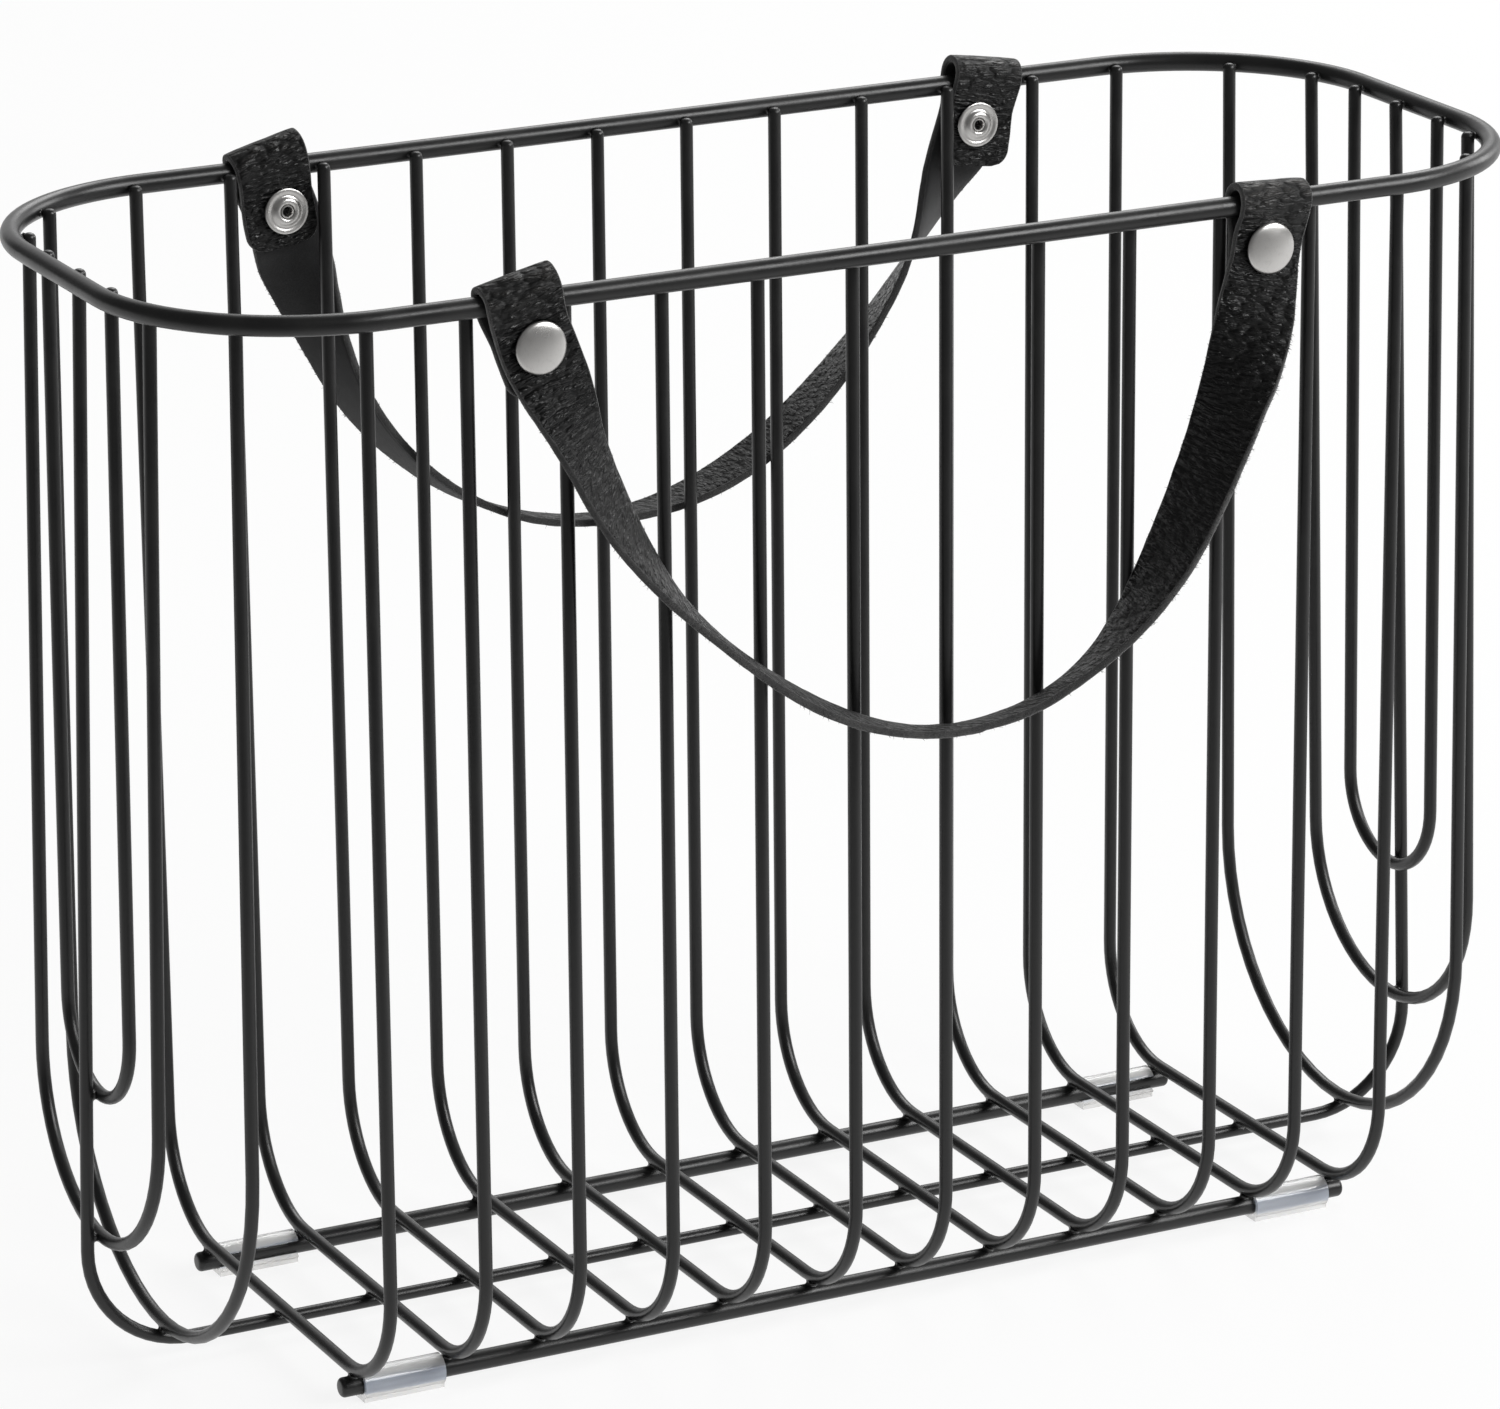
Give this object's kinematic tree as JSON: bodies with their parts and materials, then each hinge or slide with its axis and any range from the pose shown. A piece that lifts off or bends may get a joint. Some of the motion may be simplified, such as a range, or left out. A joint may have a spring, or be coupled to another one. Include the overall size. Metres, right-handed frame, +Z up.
{
  "type": "magazine basket",
  "caption": "Wire magazine basket with a round rim, hoop ribs with a flat floor, straight base rails on clear clip feet, and riveted leather strap handles.",
  "frame": {"origin": "under the middle of the basket, on the surface that its clips stand on", "axes": "+X along the basket to its right, +Y across it to the back, +Z up"},
  "size_m": [0.3754, 0.1814, 0.2845],
  "materials": {
    "wire": "satin powder coat",
    "leather": "pebbled grain",
    "clips": "clear, soft gloss",
    "rivets": "satin nickel"
  },
  "bodies": {
    "basket": {"rim": "wire", "hoop_01": "wire", "hoop_02": "wire", "hoop_03": "wire", "hoop_04": "wire", "hoop_05": "wire", "hoop_06": "wire", "hoop_07": "wire", "hoop_08": "wire", "hoop_09": "wire", "hoop_10": "wire", "hoop_11": "wire", "hoop_12": "wire", "hoop_13": "wire", "hoop_14": "wire", "hoop_15": "wire", "hoop_16": "wire", "hoop_17": "wire", "hoop_18": "wire", "keel": "wire", "rail_front": "wire", "rail_back": "wire", "clip_front_left": "clips", "clip_front_right": "clips", "clip_back_left": "clips", "clip_back_right": "clips"},
    "handle_front": {"strap_front": "leather", "cap_front_left": "rivets", "cap_front_right": "rivets", "ring_front_left": "rivets", "ring_front_right": "rivets"},
    "handle_back": {"strap_back": "leather", "cap_back_left": "rivets", "cap_back_right": "rivets", "ring_back_left": "rivets", "ring_back_right": "rivets"}
  },
  "joints": [
    {"name": "handle_front_swing", "type": "hinge", "parent": "basket", "child": "handle_front", "pos_m": [0, -0.0735, 0.2752], "axis": [-1, 0, 0], "range_deg": [0, 205]},
    {"name": "handle_back_swing", "type": "hinge", "parent": "basket", "child": "handle_back", "pos_m": [0, 0.0735, 0.2752], "axis": [1, 0, 0], "range_deg": [0, 205]}
  ]
}
